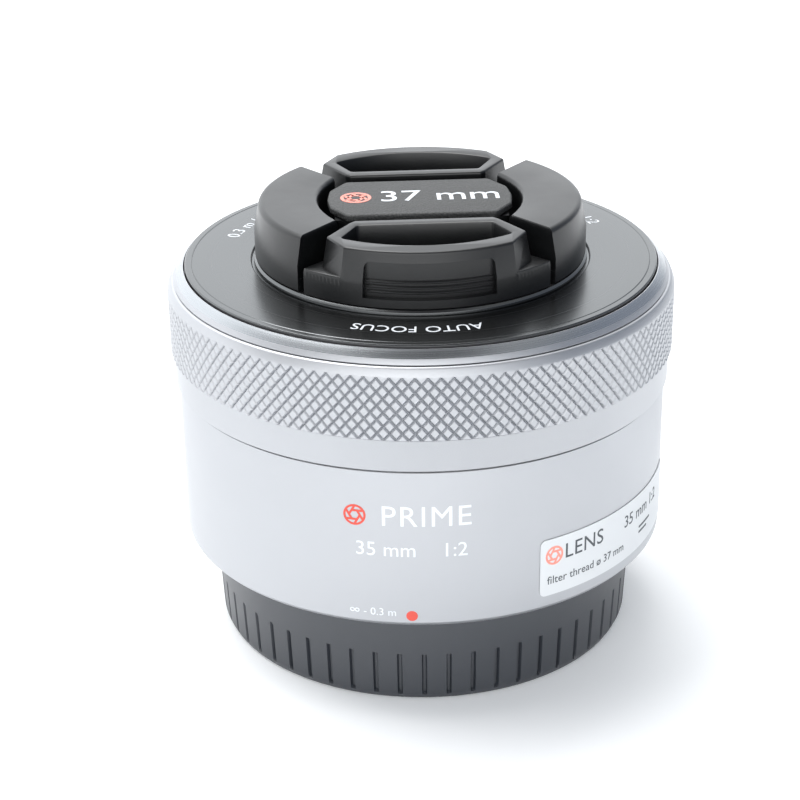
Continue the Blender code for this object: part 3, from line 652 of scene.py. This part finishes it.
def focus_ring():
    """The ring with its cut diamond knurl, made as one closed surface.

    Junctions of the grooves lie on a lattice of half pitches across and half rows up. Each
    diamond rises from its four junctions by a steep wall and a small edge to its flat top.
    """
    radius, low, high = span("focus_ring")
    skirt, bore, groove, edge_drop = radius - 0.4, 28.3, radius - 0.26, 0.03
    knurl_low, knurl_high = 36.4, 43.8
    pitches, rows = 136, 9
    wall, top = 0.72, 0.62    # shares of a diamond's size at the top of its wall and at its flat top
    half = 180 / pitches
    rise = (knurl_high - knurl_low) / rows
    vertices, faces, known = [], [], {}

    def vertex(across, up, r, z=None):
        """The one vertex at a lattice place and radius; z, where given, stands in for the row."""
        key = (round(across % (2 * pitches), 4), round(up, 4), round(r, 4), z)
        if key not in known:
            known[key] = len(vertices)
            height = knurl_low + up * rise if z is None else z
            vertices.append((*polar(r, across * half - 90), height))
        return known[key]

    for up in range(rows + 1):
        for across in range((up + 1) % 2, 2 * pitches, 2):
            corners = [(1, 0), (0, 1), (-1, 0), (0, -1)]
            if up == 0:
                corners.remove((0, -1))
            if up == rows:
                corners.remove((0, 1))
            rings = []
            for share, r in ((1, groove), (wall, radius - edge_drop), (top, radius)):
                rings.append([vertex(across + x * share, up + y * share, r) for x, y in corners])
            open_side = up in (0, rows)
            for outer, inner in zip(rings, rings[1:]):
                for i in range(len(corners)):
                    j = (i + 1) % len(corners)
                    if open_side and corners[i][1] == corners[j][1] == 0:
                        continue
                    faces.append((outer[i], outer[j], inner[j], inner[i]))
            face = list(rings[-1])
            if open_side:
                ends = [i for i, c in enumerate(corners) if c[1] == 0]
                place = max(ends) if max(ends) - min(ends) == 1 else len(face)
                face.insert(place, vertex(across, up, radius))
            faces.append(tuple(face))

    marks = [0, 1 - wall, 1 - top, 1, 1 + top, 1 + wall]

    def ring_of(phase, levels):
        """One closed ring of vertices: levels gives the row, radius and height at each mark."""
        ids = []
        for i in range(pitches):
            for mark in marks:
                ids.append(vertex(2 * i + phase + mark, *levels(mark)))
        return ids

    def edge_ring(up):
        radii = {0: groove, 1 - wall: radius - edge_drop, 1 + wall: radius - edge_drop}
        return ring_of(up % 2, lambda mark: (up, radii.get(mark, radius)))

    def plain_ring(phase, r, z):
        return ring_of(phase, lambda mark: (-1, r, z))

    top_edge = high + 0.07
    shoulder = [(radius - 0.02, knurl_high + 0.12), (radius - 0.05, knurl_high + 0.22),
                (radius - 0.10, knurl_high + 0.36), (radius - 0.36, top_edge - 0.20),
                (radius - 0.44, top_edge - 0.09), (radius - 0.55, top_edge - 0.02), (radius - 0.66, top_edge),
                (bore + 0.15, top_edge), (bore, top_edge - 0.15)]
    skirt_rings = [(bore, low + 0.15), (bore + 0.15, low), (skirt - 0.14, low), (skirt - 0.04, low + 0.04),
                   (skirt, low + 0.14), (skirt, knurl_low - 0.30), (skirt + 0.03, knurl_low - 0.24)]
    loops = [edge_ring(rows)] + [plain_ring(1, r, z) for r, z in shoulder]
    loops += [plain_ring(0, r, z) for r, z in skirt_rings] + [edge_ring(0)]
    count = len(loops[0])
    for lower, upper in zip(loops, loops[1:]):
        for i in range(count):
            j = (i + 1) % count
            faces.append((lower[i], lower[j], upper[j], upper[i]))

    build("knurled_focus_ring", vertices, faces, "focus_ring", [SILVER, BLACK_METAL],
          ["focus_ring"], lambda r, z: 1 if z < low + 0.02 else 0, 28)


# ---------- front rings

def bezel():
    """The silver bezel round the name ring, its slanted face cut bright."""
    low, high = 43.3, span("front_bezel")[2]
    cut_in, cut_out, cut_low = 28.72, 29.38, 45.6
    lathe("front_bezel_ring", [
        (28.45, high - 0.04), (28.49, high), (28.57, high), (29.40, 45.66), (29.46, 45.58),
        (29.74, 45.08, 0.04), (29.70, 45.0, 0.02), (28.0, 45.0), (28.0, low), (27.5, low), (27.5, 45.4),
        (28.45, 45.4),
    ], "lens_body", [SILVER, BEVEL], ["front_bezel"], 360,
        paint=lambda r, z: 1 if cut_in < r < cut_out and z > cut_low else 0)


def name_ring():
    """The turned black ring, its collar and the filter thread cut in the collar's bore."""
    radius, low, high = span("name_ring")
    top, floor, collar, bore = 46.8, 45.7, 20.0, 18.5
    pitch, depth, flank, rows = 0.75, 0.32, 2.4, 58
    thread_rows = [low + 0.3 + (high - 1.0 - low) * i / rows for i in range(rows + 1)]

    def thread(angle, at_radius, height):
        if at_radius > bore + 0.01 or not thread_rows[0] < height < thread_rows[-1]:
            return 0
        phase = (height / pitch - angle / 360) % 1
        return depth * min(1.0, flank * min(phase, 1 - phase))

    outline = [(bore, z) for z in thread_rows]
    outline += [(bore, high - 0.35), (bore + 0.3, high, 0.05), (19.72, high, 0.06), (19.96, high - 0.24, 0.06),
                (collar, 46.52), (20.22, 46.52), (20.30, top - 0.08, 0.03), (20.40, top, 0.03), (27.36, top),
                (27.44, top - 0.06), (27.52, top), (radius - 0.12, top, 0.04), (radius, top - 0.12, 0.04),
                (radius, floor), (collar, floor), (collar, low), (bore + 0.2, low), (bore, low + 0.1)]
    lathe("name_ring_turned", outline, "lens_body", [BLACK_RING, BLACK_METAL], ["name_ring"], 216,
          offset=thread, paint=lambda r, z: 1 if r < 19.4 or z < top - 0.4 else 0)
    marks = [laid(letters(text, 2.3, 1.04), 23.8, angle, top)
             for text, angle in (("AUTO FOCUS", -91), ("0.3 m / ø 37 mm", 146), ("35 mm 1:2", 36))]
    settle("name_ring_lettering", joined(*marks), "lens_body", [PALE_INK])


def front_optics():
    """The front cell with its light-trap ribs, the coated elements and the retaining ring."""
    ribs, rib_count, outermost, rib_pitch = [], 22, 25.6, 0.55
    for i in range(rib_count):
        r = outermost - rib_pitch * i
        ribs += [(r, 41.3), (r - 0.25, 41.3), (r - 0.3, 41.0), (r - 0.5, 41.0)]
    outline = ribs + [(13.3, 41.3), (12.9, 40.9), (12.9, 34.2), (10.4, 34.2), (10.4, 33.6), (14.2, 33.6),
                      (14.2, 40.2), (26.0, 40.2), (26.0, 41.3)]
    lathe("front_cell_ribbed", outline, "lens_body", [INNER], ["front_cell"], 144)
    glass("front_element", 12.6, 39.6, 1.2, 37.6, -0.7, "lens_body", GLASS_FRONT)
    glass("second_element", 12.6, 36.9, -0.8, 34.5, 0.25, "lens_body", GLASS_INNER)
    glass("rear_element", 9.4, 15.2, 1.0, 12.2, 0.7, "lens_body", GLASS_FRONT)
    glass("focus_element_1", 9.0, 23.6, 0.8, 22.4, 0.5, "focus_carrier", GLASS_INNER)
    glass("focus_element_2", 9.0, 22.2, -0.5, 21.2, -0.3, "focus_carrier", GLASS_INNER)
    slotted_ring("front_retaining_ring", 11.2, 12.6, 40.1, 41.2)
    slotted_ring("rear_retaining_ring", 8.3, 9.5, 15.55, 16.4)


def glass(node, radius, front, front_bulge, back, back_bulge, body, material):
    """A ground element with bevelled edges: bulges rise at the axis, plus outwards."""
    steps, bevel = 16, 0.15
    reach = radius - bevel
    face = [(reach * i / steps, front + front_bulge * (1 - (i / steps) ** 2)) for i in range(steps + 1)]
    rear = [(reach * i / steps, back - back_bulge * (1 - (i / steps) ** 2)) for i in range(steps, -1, -1)]
    outline = face + [(radius, front - bevel), (radius, back + bevel)] + rear
    lathe(f"{node}_ground", outline, body, [material], [node], 96)


def slotted_ring(node, inner, outer, low, high):
    """A threaded retaining ring with two spanner slots."""
    body = spun(rounded([
        (inner, low), (outer, low), (outer, high - 0.15), (outer - 0.15, high), (inner + 0.3, high, 0.05),
        (inner, high - 0.35)]), around(120))
    slots, slot_length, slot_width, slot_depth = [], 2.4, 0.9, 0.5
    for side in (-1, 1):
        middle = side * (inner + outer) / 2
        outline = [(middle + x, y) for x, y in rectangle(slot_length, slot_width)]
        slots.append(("DIFFERENCE", stacked([(outline, high - slot_depth), (outline, high + 1)])))
    settle(f"{node}_slotted", combine(body, *slots), "lens_body", [BLACK_METAL], [node])


# ---------- mount

def mount():
    """The bayonet ring with its three lugs, screws with cross recesses, contacts and baffle."""
    radius, low, high = span("mount_bayonet")
    throat, throat_out, flange = 20.2, 21.8, 12.6
    ring_mesh = spun(rounded([
        (radius - 0.25, flange, 0.05), (radius, 12.85, 0.05), (radius, high), (throat, high),
        (throat, low + 0.4, 0.1), (20.5, low, 0.1), (21.5, low, 0.1), (throat_out, low + 0.3, 0.1),
        (throat_out, 12.3, 0.1), (22.1, flange, 0.1),
    ]))
    steps = []
    lug_out, lug_in, lug_half = 23.3, 21.2, 18
    for middle in (60, 180, 300):
        start, end = middle - lug_half, middle + lug_half
        outline = arc(lug_out, start, end, 14) + arc(lug_in, end, start, 14)
        steps.append(("UNION", stacked([(inset(outline, 0.15), 8.4), (outline, 8.6), (outline, 9.5)])))
    screw_circle, lock_circle = 24.6, 24.9
    places = [polar(screw_circle, angle) for angle in (45, 135, 225, 315)]
    for x, y in places:
        hole = spun([(0, 11), (1.65, 11), (1.65, 13.5), (0.85, 13.5), (0.85, 16), (0, 16)], around(24))
        steps.append(("DIFFERENCE", shifted(hole, x, y)))
    lock_hole = spun([(0, 11.5), (0.55, 11.5), (0.55, 13.2), (0, 13.2)], around(18))
    steps.append(("DIFFERENCE", shifted(lock_hole, *polar(lock_circle, 0))))
    settle("bayonet_ring", combine(ring_mesh, *steps), "lens_body", [CHROME], ["mount_bayonet"])
    for i, place in enumerate(places):
        screw(f"mount_screw_{i + 1}", place)
    block = arc(19.4, -122, -58, 28) + arc(16.8, -58, -122, 28)
    base = stacked([(inset(block, 0.15), 8.3), (block, 8.45), (block, 9.3)])
    settle("contact_block_moulded", base, "lens_body", [INNER], ["contact_block"])
    pins, pin_circle = [], 18.1
    for angle in range(-117, -62, 6):
        dome = spun([(0, 7.95), (0.3, 8.0), (0.5, 8.15), (0.52, 8.6), (0, 8.6)], around(18))
        pins.append(shifted(dome, *polar(pin_circle, angle)))
    settle("gold_contacts", joined(*pins), "lens_body", [GOLD])
    ribs, rib_count, innermost, rib_pitch = [], 9, 14.5, 0.52
    for i in range(rib_count):
        r = innermost + rib_pitch * i
        ribs += [(r, 9.6), (r + 0.24, 9.6), (r + 0.28, 9.8), (r + 0.48, 9.8)]
    lathe("rear_baffle_ribbed", ribs + [(19.7, 9.6, 0.1), (19.9, 9.8), (19.9, 14.2), (19.2, 14.2), (19.2, 10.3),
                                        (14.3, 10.3), (14.3, 9.6)],
          "lens_body", [INNER], ["rear_baffle"], 144)


def screw(node, place):
    """A pan-head screw, driven from below, its head cut with a tapered cross."""
    head = spun(rounded([
        (0, 12.7), (0.9, 12.72), (1.25, 12.86), (1.35, 13.1, 0.05), (1.35, 13.4), (0.6, 13.4),
        (0.6, 15.5), (0, 15.5),
    ]), around(36))
    cuts, taper = [], 0.7
    for turn in (0, 90):
        outline = [Matrix.Rotation(math.radians(turn), 2) @ Vector(p) for p in rectangle(1.5, 0.26)]
        mouth, tip = [tuple(p) for p in outline], [tuple(p * taper) for p in outline]
        cuts.append(("DIFFERENCE", stacked([(mouth, 12.5), (tip, 13.15)])))
    settle(f"{node}_cross", shifted(combine(head, *cuts), *place), "lens_body", [STEEL], [node])


# ---------- front cap

# The cap is made in its own frame, with the wings at +X and -X and the grips at -Y and +Y.
CAP_LOW, CAP_LEDGE, CAP_HIGH, CAP_R = 47.45, 50.6, 54.0, 19.8
WING_END = 48.0    # degrees from the Y axis to the end of a wing
GRIP_END = 45.2    # degrees from the Y axis to the end of a grip


def wing(side):
    """One wing: a rounded outer shoulder, an oblique end to each side and a hollow for the plate."""
    steps, hollow_shares = 40, [i / 5 for i in range(-5, 6)]
    hollow_x, hollow_bow, hollow_half = 12.1, 2.15, 7.6

    def outline(radius):
        outer = [(x * side, y * side) for x, y in arc(radius, WING_END - 90, 90 - WING_END, steps)]
        hollow = [(side * (hollow_x - hollow_bow * t * t), side * -hollow_half * t) for t in hollow_shares]
        return outer + hollow

    count = steps + 1 + len(hollow_shares)
    edges = [0.7] * steps + [0.12] + [0.5] * (count - steps - 2) + [0.12]
    top = outline(CAP_R - 0.55)
    layers = [(outline(CAP_R - 0.12), CAP_LOW), (outline(CAP_R), CAP_LOW + 0.15), (outline(CAP_R), CAP_LEDGE)]
    return stacked(layers + softened(top, CAP_HIGH, edges, 6))


def cap_moulding():
    """The cap's floor with both wings and the plate's pedestal, as one moulding."""
    floor, floor_in, floor_top = [], 15.6, 48.9
    for middle in (0, 180):
        floor += arc(CAP_R - 0.15, middle + WING_END - 90, middle + 90 - WING_END, 30)
        floor += arc(floor_in, middle + 90 - WING_END, middle + 90 + WING_END, 30)
    base = stacked([(floor, CAP_LOW + 0.02), (floor, floor_top)])
    pedestal = rounded(rectangle(20.4, 10.4, 0.4))
    steps = [("UNION", wing(side)) for side in (1, -1)]
    steps.append(("UNION", stacked([(pedestal, 48.6), (pedestal, 53.0)])))
    spring_bore, spring_y, spring_level = 1.26, 4.6, 51.2
    for side in (1, -1):
        bore = spun([(0, -2), (spring_bore, -2), (spring_bore, 2), (0, 2)], around(24))
        place = Matrix.Translation((0, side * spring_y * MM, spring_level * MM))
        bore.transform(place @ Matrix.Rotation(math.pi / 2, 4, "X"))
        steps.append(("DIFFERENCE", bore))
    made = in_cap_frame(combine(base, *steps))
    settle("cap_moulding", made, "front_cap", [CAP_PLASTIC], ["cap_body"], sharp=30)


def cap_plate():
    """The plate between the grips, with a moulded leather grain whose valleys have painted shade, and a generic
    size mark.
    """
    right = [(8.7, -6.1, 0.8), (10.7, -3.0, 1.6), (11.0, 0, 4.0), (10.7, 3.0, 1.6), (8.7, 6.1, 0.8)]
    left = [(-x, -y, r) for x, y, r in right]
    outline = rounded(left[-1:] + right + left[:-1], 6)
    face, ink_depth = 53.9, 0.05
    plate = stacked([(inset(outline, 0.1), 53.1), (outline, 53.2), *softened(outline, face, 0.3, 4)])
    settle("cap_plate_grained", in_cap_frame(plate), "front_cap", [PLATE_FACE],
           ["cap_plate"], sharp=40)
    size = shifted(letters("37 mm", 5.2, depth=ink_depth), 2.4, 0.1, face)
    settle("plate_size", in_cap_frame(size), "front_cap", [PALE_INK])
    mark = shifted(iris_mark(1.85, 0.40, ink_depth), -7.6, 0.1, face)
    settle("plate_mark", in_cap_frame(mark), "front_cap", [SALMON])


def grip_solid():
    """The grip on the -Y side: skirt, raised wall with its finger well, and the ribbed window."""
    left, right = -90 - GRIP_END, -90 + GRIP_END
    skirt_in, back, curtain_in, rib_out, rib_in = 15.7, 8.9, 17.0, 19.28, 18.6
    skirt = rounded([(*polar(CAP_R, left), 0.15)] + arc(CAP_R, left + 1, right - 1, 60)
                    + [(*polar(CAP_R, right), 0.15), (*polar(skirt_in, right), 0.2), (back, -back, 0.2),
                       (-back, -back, 0.2), (*polar(skirt_in, left), 0.2)])
    ledge = stacked([(skirt, 49.3), *softened(skirt, CAP_LEDGE, 0.16, 2)])
    curtain = arc(CAP_R, left, right, 60) + arc(curtain_in, right, left, 60)
    wall = stacked([(inset(curtain, 0.08), CAP_LOW), (curtain, CAP_LOW + 0.1), (curtain, 50.2)])

    def raised(rim, facet, sides):
        """The raised wall's outline: rim radius, how far the corner facets and the ends stand out."""
        start = math.degrees(math.acos((9.5 + facet * 0.6) / rim))
        points = arc(rim, -180 + start, -start, 48)
        end = [(11.35 + facet, -13.15 - facet * 0.9, 0.35), (8.6 + sides, -8.7, 0.3), (8.0, -8.1 + sides, 0.25)]
        points += end + [(-x, y, r) for x, y, r in reversed(end)]
        return rounded(points, 3)

    foot, shoulder = raised(CAP_R + 0.02, 0.6, 0.1), raised(19.2, 0.0, 0.0)
    count = len(shoulder)
    edges = [0.32] * 48 + [0.25] * (count - 48)
    well_r, well_half, well_back_half, well_back = 16.7, 9.7, 7.8, -9.75
    start = math.degrees(math.acos(well_half / well_r))
    rim = rounded([(*polar(well_r, -180 + start), 0.5)] + arc(well_r, -180 + start + 3, -start - 3, 40)
                  + [(*polar(well_r, -start), 0.5), (well_back_half, well_back, 0.7),
                     (-well_back_half, well_back, 0.7)], 5)
    pocket = [(inset(rim, -0.25), CAP_HIGH), (inset(rim, -0.07), CAP_HIGH - 0.08), (rim, CAP_HIGH - 0.25),
              (inset(rim, 0.2), 50.35), (inset(rim, 0.5), 50.0)]
    layers = [(foot, 50.0), (foot, CAP_LEDGE), *softened(shoulder, CAP_HIGH, edges, 5)]
    upper = stacked(layers, [pocket])
    well = stacked([(inset(rim, 0.45), 50.0), (rim, 51.5), (rim, 56)])
    window = mesh_from(*window_cutter(22.4, 48.5, 52.75, 19.0, 21.5))
    ribs = []
    rib = arc(rib_out, -111.8, -68.2, 30) + arc(rib_in, -68.2, -111.8, 30)
    for i in range(3):
        level = 49.0 + 0.62 * i
        layers = [(inset(rib, 0.12), level), (rib, level + 0.12), (rib, level + 0.2),
                  (inset(rib, 0.12), level + 0.32)]
        ribs.append(("UNION", stacked(layers)))
    tab = arc(18.3, -114, -66, 24) + arc(17.2, -66, -114, 24)
    steps = [("UNION", ledge), ("DIFFERENCE", well), ("UNION", upper), ("DIFFERENCE", window), *ribs]
    steps.append(("UNION", stacked([(inset(tab, 0.1), 45.1), (tab, 45.25), (tab, 48.0)])))
    return combine(wall, *steps)


def window_cutter(half, low, high, inner, outer):
    """A curved window with rounded upper corners, wrapped from a flat outline."""
    width = math.radians(half) * CAP_R
    outline = rounded([(-width, low), (width, low), (width - 0.15, high, 0.8), (-width + 0.15, high, 0.8)], 5)
    slices = 28
    columns = sorted({x for x, _ in outline} | {-width + 2 * width * i / slices for i in range(slices + 1)})

    def limits(x):
        heights = []
        for (x1, y1), (x2, y2) in zip(outline, outline[1:] + outline[:1]):
            if x1 != x2 and min(x1, x2) - 1e-9 <= x <= max(x1, x2) + 1e-9:
                heights.append(y1 + (y2 - y1) * (x - x1) / (x2 - x1))
        return min(heights), max(heights)

    vertices, faces = [], []
    for x in columns:
        bottom, top = limits(x)
        angle = -90 + math.degrees(x / CAP_R)
        for z in (bottom, max(top, bottom + 0.02)):
            vertices += [(*polar(inner, angle), z), (*polar(outer, angle), z)]
    for i in range(len(columns) - 1):
        a, b = 4 * i, 4 * (i + 1)
        for p, q in ((0, 1), (1, 3), (3, 2), (2, 0)):
            faces.append((a + p, b + p, b + q, a + q))
    last = 4 * (len(columns) - 1)
    faces += [(0, 1, 3, 2), (last, last + 1, last + 3, last + 2)]
    return vertices, faces


def cap_grips():
    """Both grips, the rear one turned half round."""
    solid = grip_solid()
    for name, about in (("cap_grip_front", 0.0), ("cap_grip_rear", math.pi)):
        made = in_cap_frame(solid.copy(), about)
        settle(f"{name}_moulded", made, name, [CAP_PLASTIC], [name], sharp=30)


# ---------- pieces kept from the CAD

def dress_cad():
    """Gives every CAD piece that stays in view its own procedural finish."""
    finishes = {
        "steel": STEEL, "brass": BRASS, "blade_steel": BLADE, "inner_plastic": INNER, "white_plastic": WHITE,
        "board": BOARD, "glass": GLASS_INNER, "black_metal": BLACK_METAL, "chrome": CHROME, "silver": SILVER,
        "front_cap": CAP_PLASTIC, "rear_cap": REAR_PLASTIC, "cap_plate": PLATE_FACE, "label": LABEL,
        "name_ring": BLACK_RING, "red_paint": RED,
    }
    for part in frame["record"]["subparts"]:
        node = frame["nodes"][part["node"]]
        material = finishes[part["material_slot"]]
        if node.data.materials:
            for i in range(len(node.data.materials)):
                node.data.materials[i] = material
        else:
            node.data.materials.append(material)


# ---------- stage, light and camera

def stage():
    """A pale floor, the studio room's light and one large softbox above, behind and to the left."""
    below_the_lens = -0.0001
    bpy.ops.mesh.primitive_plane_add(size=6, location=(0, 0, below_the_lens))
    floor = bpy.context.object
    floor.name = "floor"
    made, tree, shader = nodes_of("floor_paper")
    clouds = noise_node(tree, place_node(tree), 0.004)
    feed(tree, shader, {
        "Base Color": blend_colours(tree, clouds, (0.93, 0.94, 0.945), (0.95, 0.955, 0.96)),
        "Roughness": 0.9, "Specular IOR Level": 0.1,
        "Emission Color": (0.93, 0.97, 1.0, 1), "Emission Strength": 0.13})
    floor.data.materials.append(made)
    studio_room()
    area_light("key_softbox", place=(-0.30, 0.32, 1.12), target=(0, 0, 0.02), size=(1.1, 0.7), power=15.5)


def studio_room():
    """Light by direction, each patch laid over the ones before it.

    A bright backdrop, a bright room behind the camera, a dim right side, a bright strip at the far
    left, an even ceiling, and a dark patch above the camera that the polished bevel mirrors.
    """
    world = bpy.data.worlds.new("studio")
    bpy.context.scene.world = world
    world.use_nodes = True
    tree = world.node_tree
    direction = add_node(tree, "TexCoord", output="Generated")
    x, y, z = split_place(tree, direction)
    dark_elevation = math.radians(64)
    dark_aim = (0, -math.cos(dark_elevation), math.sin(dark_elevation))
    nearness = add_node(tree, "VectorMath", {0: direction, 1: dark_aim}, "Value", operation="DOT_PRODUCT")
    colour = (0.38, 0.39, 0.42, 1)
    for factor, shade in (
            (between(tree, y, 0.0, 1.0, -0.15, 0.35), (1.80, 1.85, 1.90)),
            (between(tree, y, 1.0, 0.0, -0.80, -0.50), (2.60, 2.63, 2.65)),
            (between(tree, x, 0.0, 0.9, 0.25, 0.70), (0.24, 0.28, 0.36)),
            (between(tree, x, 1.0, 0.0, -0.97, -0.88), (2.2, 2.22, 2.25)),
            (between(tree, z, 0.0, 1.0, 0.60, 0.85), (0.48, 0.49, 0.50)),
            (between(tree, nearness, 0.0, 1.0, 0.90, 0.97), (0.11, 0.112, 0.12))):
        colour = mix_node(tree, factor, colour, (*shade, 1))
    tree.links.new(colour, tree.nodes["Background"].inputs["Color"])


def area_light(name, place, target, size, power):
    light = bpy.data.lights.new(name, "AREA")
    light.shape = "RECTANGLE"
    light.size, light.size_y = size
    light.energy = power
    made = bpy.data.objects.new(name, light)
    made.location = place
    made.rotation_euler = (Vector(target) - Vector(place)).to_track_quat("-Z", "Y").to_euler()
    bpy.context.scene.collection.objects.link(made)


def camera():
    """A 90 mm lens on a 36 mm frame, looking down on the object from its front side."""
    yaw, pitch, roll = -0.0120, 0.4341, -0.0152
    place = (0, -0.22588, 0.13195)
    forward = Vector((math.sin(yaw) * math.cos(pitch), math.cos(yaw) * math.cos(pitch), -math.sin(pitch)))
    right = forward.cross(Vector((0, 0, 1))).normalized()
    up = right.cross(forward)
    across = math.cos(roll) * right + math.sin(roll) * up
    upright = math.cos(roll) * up - math.sin(roll) * right
    data = bpy.data.cameras.new("camera")
    data.lens, data.sensor_width = 90, 36
    data.clip_start = 0.01
    made = bpy.data.objects.new("camera", data)
    turned = Matrix((across, upright, -forward)).transposed().to_4x4()
    made.matrix_world = Matrix.Translation(place) @ turned
    bpy.context.scene.collection.objects.link(made)
    bpy.context.scene.camera = made


dress_cad()
rear_cap()
barrel()
label()
barrel_marks()
focus_ring()
bezel()
name_ring()
front_optics()
mount()
cap_moulding()
cap_plate()
cap_grips()
stage()
camera()
bpy.context.scene.view_settings.view_transform = "Standard"
